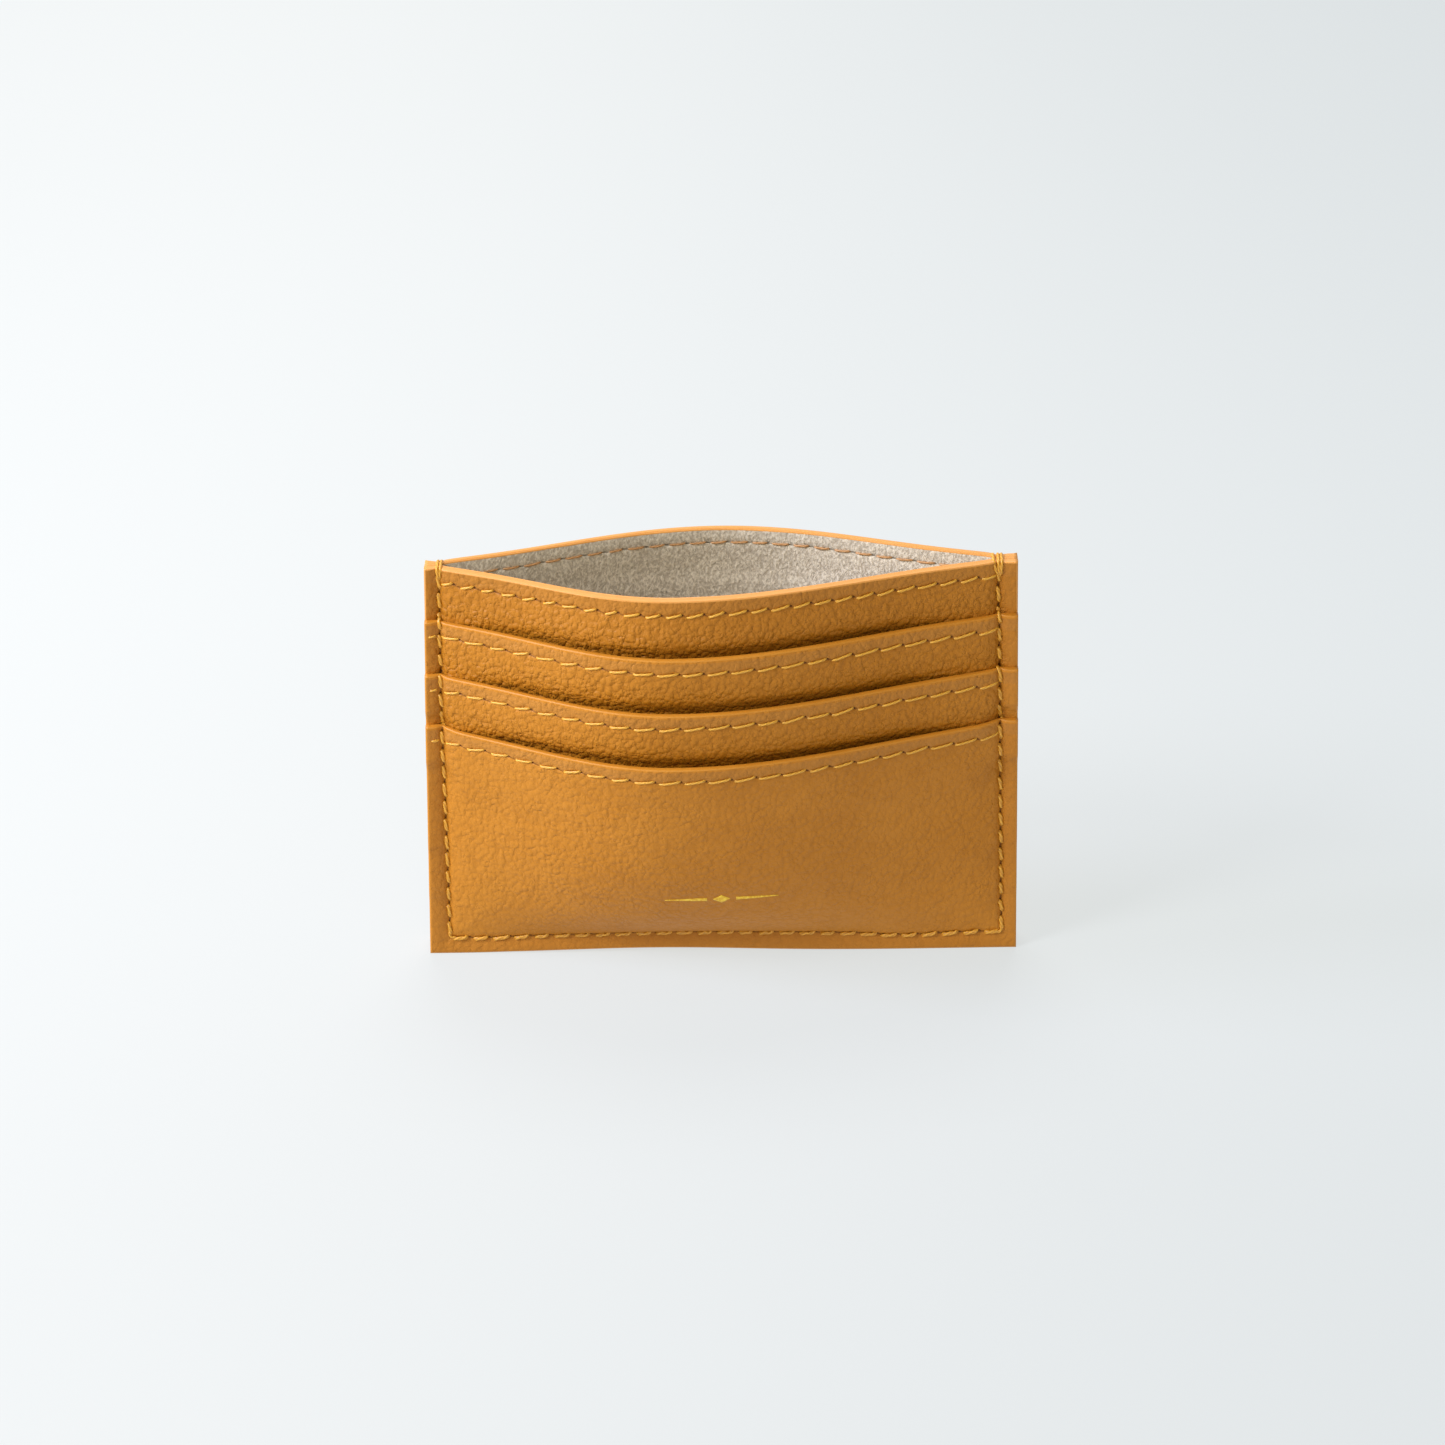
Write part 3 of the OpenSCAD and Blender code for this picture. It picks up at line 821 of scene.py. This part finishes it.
def tube(path, normals, radius, twist_phase):
    """A twisted thread along path, all in millimetres. Returns points, faces and the ply value."""
    path = np.asarray(path)
    tangent = np.gradient(path, axis=0)
    tangent /= np.linalg.norm(tangent, axis=1)[:, None]
    up = normals - tangent * (normals * tangent).sum(1)[:, None]
    up /= np.linalg.norm(up, axis=1)[:, None]
    aside = np.cross(tangent, up)
    run = np.concatenate([[0], np.cumsum(np.linalg.norm(np.diff(path, axis=0), axis=1))])
    angle = np.arange(RING_SIDES) * 2 * np.pi / RING_SIDES
    lay = np.cos(3 * angle[None, :] - run[:, None] * 2 * np.pi / LAY_LENGTH + twist_phase)
    taper = np.sqrt(np.clip(np.minimum(run, run[-1] - run) / 0.25 + 0.25, 0, 1))
    reach = radius * taper[:, None] * (1 + PLY_RELIEF * lay)
    points = (
        path[:, None, :]
        + aside[:, None, :] * (reach * np.cos(angle))[..., None]
        + up[:, None, :] * (reach * np.sin(angle) * FLATTENED)[..., None])
    rings = len(path)
    grid = np.arange(rings * RING_SIDES).reshape(rings, RING_SIDES)
    turned = np.roll(grid, -1, axis=1)
    faces = np.stack([grid[:-1], turned[:-1], turned[1:], grid[1:]], -1).reshape(-1, 4)
    caps = []
    half = RING_SIDES // 2
    for ring, flip in ((grid[0], True), (grid[-1], False)):
        for k in range(half - 1):
            quad = [ring[k], ring[k + 1], ring[RING_SIDES - 2 - k], ring[RING_SIDES - 1 - k]]
            caps.append(quad[::-1] if flip else quad)
    faces = np.concatenate([faces, np.array(caps)])
    return points.reshape(-1, 3), faces, (0.5 + 0.5 * lay).ravel()


def surface_normal(side, depth_of, x, z):
    """Outward unit normal of the face whose depth is depth_of(x, z)."""
    d = 0.05  # step of the difference quotients
    slope_x = (depth_of(x + d, z) - depth_of(x - d, z)) / (2 * d)
    slope_z = (depth_of(x, z + d) - depth_of(x, z - d)) / (2 * d)
    normal = np.stack([-slope_x, -np.ones_like(slope_x), -slope_z], -1)
    normal /= np.linalg.norm(normal, axis=-1)[:, None]
    return normal if side == FRONT else normal * np.array([1, -1, 1])


# How high the rows lie on their leather, how far a stitch runs on into its holes, and how deep it dives
ROW_LIFT, BOBBIN_LIFT = 0.05, 0.02
OVERRUN, DIVE = 0.12, 0.62


def stitch_tubes(side, stitches, depth_of, radius, seed, lift=ROW_LIFT, outward=1.0):
    """Each stitch rises out of one hole, lies on the surface and dives into the next. outward is -1 for a
    thread on the compartment's side of a wall."""
    dice = np.random.default_rng(seed)
    parts = []
    for s in stitches:
        t = np.linspace(-OVERRUN, 1 + OVERRUN, STITCH_RINGS)
        spot = s.start[None, :] + (s.end - s.start)[None, :] * t[:, None]
        x, z = spot[:, 0], spot[:, 1]
        lie = lift - DIVE * abs(2 * (t + OVERRUN) / (1 + 2 * OVERRUN) - 1) ** 5
        normal = surface_normal(side, depth_of, x, z) * outward
        base = place(side, x, depth_of(x, z), z)
        parts.append(tube(base + normal * lie[:, None], normal, radius, dice.uniform(0, 6.28)))
    return parts


def thread_object(name, parts, look):
    points, faces, ply, start = [], [], [], 0
    for p, f, v in parts:
        points.append(p)
        faces.append(f + start)
        ply.append(v)
        start += len(p)
    points, faces, ply = (np.concatenate(blocks) for blocks in (points, faces, ply))
    finish_piece(mesh_object(name, points, faces, [look], {"ply": ply}), name)


def layer_depth(side, layer):
    return lambda x, z: outer(side, layer, x, z)


def shown_depth(side):
    """Depth of whichever layer shows at each point."""
    def rule(x, z):
        depth = outer(side, 1, x, z)
        for layer in (2, 3, 4):
            depth = np.where(z < LAYER_EDGE[layer], outer(side, layer, x, z), depth)
        return depth
    return rule


def arc_path(points, steps):
    """A smooth path through a few points."""
    points = np.asarray(points, float)
    padded = np.vstack([2 * points[0] - points[1], points, 2 * points[-1] - points[-2]])
    out = []
    for v in np.linspace(0, len(points) - 1, steps):
        k = min(int(v), len(points) - 2)
        f = v - k
        a, b, c, d = padded[k:k + 4]
        curve = (2 * a - 5 * b + 4 * c - d) * f ** 2 + (3 * b - a - 3 * c + d) * f ** 3
        out.append(0.5 * (2 * b + (c - a) * f + curve))
    return np.array(out)


def margin_tail(layer):
    """The start of a pocket's row shows as a short stitch on the left margin."""
    z = LAYER_EDGE[layer] - ROW_INSET
    return Stitch((left_seam(z) - 1.75, z - 0.05), (left_seam(z) - 0.65, z + 0.05))


def over_edge_strands():
    """Back-tacked strands that wrap over the mouth at the top of both seams."""
    parts = []
    rings, clearance = 40, 0.10
    depth, top_z = WALL + clearance, HEIGHT - 0.04
    # Seam, where each strand crosses the mouth beside it, and how far down the strands start
    for line, spreads, drop in ((left_seam, (-0.2, 0.35), 2.1), (right_seam, (-0.75, 0.05, 0.6), 2.6)):
        foot_z = HEIGHT - drop
        for k, spread in enumerate(spreads):
            foot_x, top_x = line(foot_z) + 0.15 * k, line(HEIGHT) + spread
            front = [
                (foot_x, -(depth - 0.3), foot_z), (mix(foot_x, top_x, 0.35), -depth, foot_z + 0.7),
                (mix(foot_x, top_x, 0.8), -depth, HEIGHT - 0.7), (top_x, -depth + 0.25, top_z)]
            back = [(x, -y, z) for x, y, z in front[::-1]]
            path = arc_path(front + [(top_x, 0, top_z + 0.12)] + back, rings) + (MOUTH_DRIFT, 0, 0)
            rise = np.clip(path[:, 2] - HEIGHT + 1.2, 0.02, 1)
            normals = np.stack([np.zeros(rings), path[:, 1] / WALL, rise], 1)
            parts.append(tube(path, normals, STRAND_RADIUS, 1.3 * k))
    return parts


def corner_knot(side):
    """The thread turns and crosses itself at the bottom corners."""
    parts = []
    rings, clearance = 15, 0.16
    forward = [0.0, -1.0 if side == FRONT else 1.0, 0.0]
    for line, way in ((left_seam, 1), (right_seam, -1)):
        x0, z0 = line(BOTTOM_INSET), BOTTOM_INSET
        spots = [(x0 - 0.1 * way, z0 + 1.1), (x0 + 0.15 * way, z0 + 0.2), (x0 + 1.1 * way, z0 - 0.05)]
        path = arc_path([place(side, x, float(outer(side, 4, x, z)) + clearance, z) for x, z in spots], rings)
        parts.append(tube(path, np.repeat([forward], rings, 0), KNOT_RADIUS, 0.4))
    return parts


def make_wall(side):
    """One wall: its sheets, its threads, and the flat size of each sheet."""
    upper, middle = side + "_upper_pocket", side + "_middle_pocket"
    lining = lining_sheet(side)
    panel = leather_sheet(side + "_panel", side, 1, 0.0, HEIGHT, MOUTH_ROW)
    pocket_2 = leather_sheet(upper, side, 2, UPPER_FOOT, UPPER_EDGE, POCKET_ROWS[2])
    drop_2 = textile_sheet(upper + "_textile", side, 2, UPPER_FLOOR, UPPER_FOOT)
    pocket_3 = leather_sheet(middle, side, 3, MIDDLE_FOOT, MIDDLE_EDGE, POCKET_ROWS[3])
    drop_3 = textile_sheet(middle + "_textile", side, 3, MIDDLE_FLOOR, MIDDLE_FOOT)
    pocket_4 = leather_sheet(side + "_lower_pocket", side, 4, 0.0, LOWER_EDGE, POCKET_ROWS[4])

    first = 40 if side == FRONT else 60
    needles = stitch_tubes(side, MOUTH_ROW, layer_depth(side, 1), ROW_RADIUS, first)
    thread_object(side + "_mouth_needle_thread", needles, THREAD_LOOK)
    # Where the two linings touch beside the seams, the bobbin thread doesn't show
    clear = [s for s in INNER_ROW if min(bow_share(side, *s.start), bow_share(side, *s.end)) > 0.05]
    bobbins = stitch_tubes(
        side, clear, lambda x, z: inner(side, 0, x, z), BOBBIN_RADIUS, first + 1, BOBBIN_LIFT, outward=-1.0)
    thread_object(side + "_mouth_bobbin_thread", bobbins, BOBBIN_LOOK)
    for layer, word in ((2, "upper"), (3, "middle"), (4, "lower")):
        stitches = POCKET_ROWS[layer] + [margin_tail(layer)]
        parts = stitch_tubes(side, stitches, layer_depth(side, layer), ROW_RADIUS, first + layer)
        thread_object(f"{side}_{word}_pocket_thread", parts, THREAD_LOOK)
    seam = []
    for k, (stitches, lift) in enumerate(zip(SEAM_ROWS, SEAM_LIFTS)):
        seam += stitch_tubes(side, stitches, shown_depth(side), SEAM_RADIUS, first + 10 + k, lift)
    seam += corner_knot(side)
    if side == FRONT:
        seam += over_edge_strands()
    thread_object(side + "_seam_thread", seam, SEAM_LOOK)


make_wall(FRONT)
make_wall(BACK)


# ---------------------------------------------------------------- foil ornament
def foil_ornament():
    """A lozenge between two tapered bars, stamped a little into the lower pocket."""
    centre_z, length, thickness, sunk = 16.2, 19.0, 0.05, 0.05
    lozenge_half, gap, tip, bar_half_height = 1.4, 1.0, 0.05, 0.36
    columns, rows = 33, 7

    def lozenge(t):
        return mix(tip, 1.0, 1 - abs(2 * t - 1))

    def bar(t):
        return mix(tip, bar_half_height, t ** 0.7)

    shapes = (
        (-lozenge_half, lozenge_half, lozenge),
        (-length / 2, -lozenge_half - gap, bar),
        (length / 2, lozenge_half + gap, bar))
    points, faces, start = [], [], 0
    for from_x, to_x, half_height in shapes:
        t = np.linspace(0, 1, columns)
        share = np.linspace(-1, 1, rows)
        x = np.repeat(mix(from_x, to_x, t)[None, :], rows, 0)
        z = centre_z + share[:, None] * half_height(t)[None, :]
        depth = outer(FRONT, 4, x, z) + swells(FRONT, x, z, 4)
        top = place(FRONT, x, depth + thickness, z)
        low = place(FRONT, x, depth - sunk, z)
        grid = np.arange(x.size).reshape(x.shape) + start
        under = grid + x.size
        ring = ring_of(*x.shape)[0]
        border = ring[:, 0], ring[:, 1]
        rim = band_of(grid[border], under[border])
        quads = np.concatenate([quads_of(grid), quads_of(under, turned=True), rim])
        faces.append(quads if to_x > from_x else quads[:, ::-1])
        points += [top.reshape(-1, 3), low.reshape(-1, 3)]
        start += 2 * x.size
    piece = mesh_object("foil_ornament", np.concatenate(points), np.concatenate(faces), [FOIL_LOOK], {})
    finish_piece(piece, "foil_ornament")


foil_ornament()


# ---------------------------------------------------------------- stage, lights and camera
def floor_and_backdrop():
    """One pale sweep: floor in front, curving up into the backdrop. It glows, and its glow is painted light
    that falls off to the right and a little towards the front.
    """
    reach, bend, tall, front, half_width_m, steps = 1.6, 1.2, 3.0, -2.5, 3.0, 16
    profile = [(front, 0.0), (reach - bend, 0.0)]
    for k in range(1, steps + 1):
        a = k / steps * math.pi / 2
        profile.append((reach - bend + bend * math.sin(a), bend - bend * math.cos(a)))
    profile.append((reach, tall))
    points, faces = [], []
    for y, z in profile:
        points += [(-half_width_m, y, z), (half_width_m, y, z)]
    for k in range(len(profile) - 1):
        faces.append((2 * k, 2 * k + 1, 2 * k + 3, 2 * k + 2))
    mesh = bpy.data.meshes.new("floor")
    mesh.from_pydata(points, [], faces)
    for polygon in mesh.polygons:
        polygon.use_smooth = True
    sweep = bpy.data.objects.new("floor", mesh)
    bpy.context.scene.collection.objects.link(sweep)
    n = Nodes("pale_floor")
    across, away, _ = n.add("SeparateXYZ", {0: n.where}).outputs
    tone = n.noise(n.where, 3.0, 1.0)
    to_right = n.ramp(n.math("MULTIPLY_ADD", tone, 0.04, across), -0.16, 0.26)
    n.plain(Base_Color=(0.14, 0.14, 0.14, 1), Roughness=0.9, Specular_IOR_Level=0.0)
    n.set(n.shader, "Emission Color", n.blend(to_right, (0.70, 0.72, 0.71, 1), (0.55, 0.585, 0.59, 1)))
    n.set(n.shader, "Emission Strength", n.ramp(away, -0.22, 0.16, 0.93, 1.0))
    mesh.materials.append(n.material)


def area_light(name, where, aim, size, power, tint=(1, 1, 1)):
    """A round softbox. Its place, aim and size are in metres, its power in watts."""
    data = bpy.data.lights.new(name, "AREA")
    data.shape = "DISK"
    data.size = size
    data.energy = power
    data.color = tint
    lamp = bpy.data.objects.new(name, data)
    lamp.location = where
    lamp.rotation_euler = (Vector(aim) - Vector(where)).to_track_quat("-Z", "Y").to_euler()
    bpy.context.scene.collection.objects.link(lamp)


def studio():
    world = bpy.data.worlds.new("studio")
    world.use_nodes = True
    background = world.node_tree.nodes["Background"]
    background.inputs[0].default_value = (0.98, 0.97, 0.96, 1)
    background.inputs[1].default_value = 0.33
    bpy.context.scene.world = world
    area_light("key", (-0.70, -0.42, 0.70), (0, 0, 0.04), 0.36, 7.4, (0.97, 1.0, 1.06))
    area_light("left", (-0.95, -0.05, 0.55), (0, 0, 0.05), 0.40, 9.1, (0.93, 1.0, 1.30))
    area_light("back", (0.0, 0.40, 0.95), (0, 0, 0.07), 0.45, 5.0)
    area_light("front", (0.05, -0.95, 0.55), (0, 0, 0.05), 0.50, 2.4, (1.0, 0.96, 0.74))
    bpy.context.scene.view_settings.view_transform = "Standard"


def camera():
    """The view: elevation and roll in degrees, distances in metres."""
    elevation, turn, roll = math.radians(28.5), math.radians(1.196), math.radians(-1.242)
    distance, lens_mm = 0.6016, 90.425
    aim = Vector((0.000735, 0.0, 0.042705))
    back = Vector((
        math.sin(turn) * math.cos(elevation), -math.cos(turn) * math.cos(elevation), math.sin(elevation)))
    right = (-back).cross(Vector((0, 0, 1))).normalized()
    up = back.cross(right)
    tilted_right = right * math.cos(roll) + up * math.sin(roll)
    tilted_up = up * math.cos(roll) - right * math.sin(roll)
    data = bpy.data.cameras.new("view")
    data.lens = lens_mm
    data.sensor_width = 36.0
    data.clip_start = 0.01
    eye = bpy.data.objects.new("view", data)
    turn_to = Matrix((tilted_right, tilted_up, back)).transposed()
    eye.matrix_world = Matrix.Translation(aim + back * distance) @ turn_to.to_4x4()
    bpy.context.scene.collection.objects.link(eye)
    bpy.context.scene.camera = eye


floor_and_backdrop()
studio()
camera()
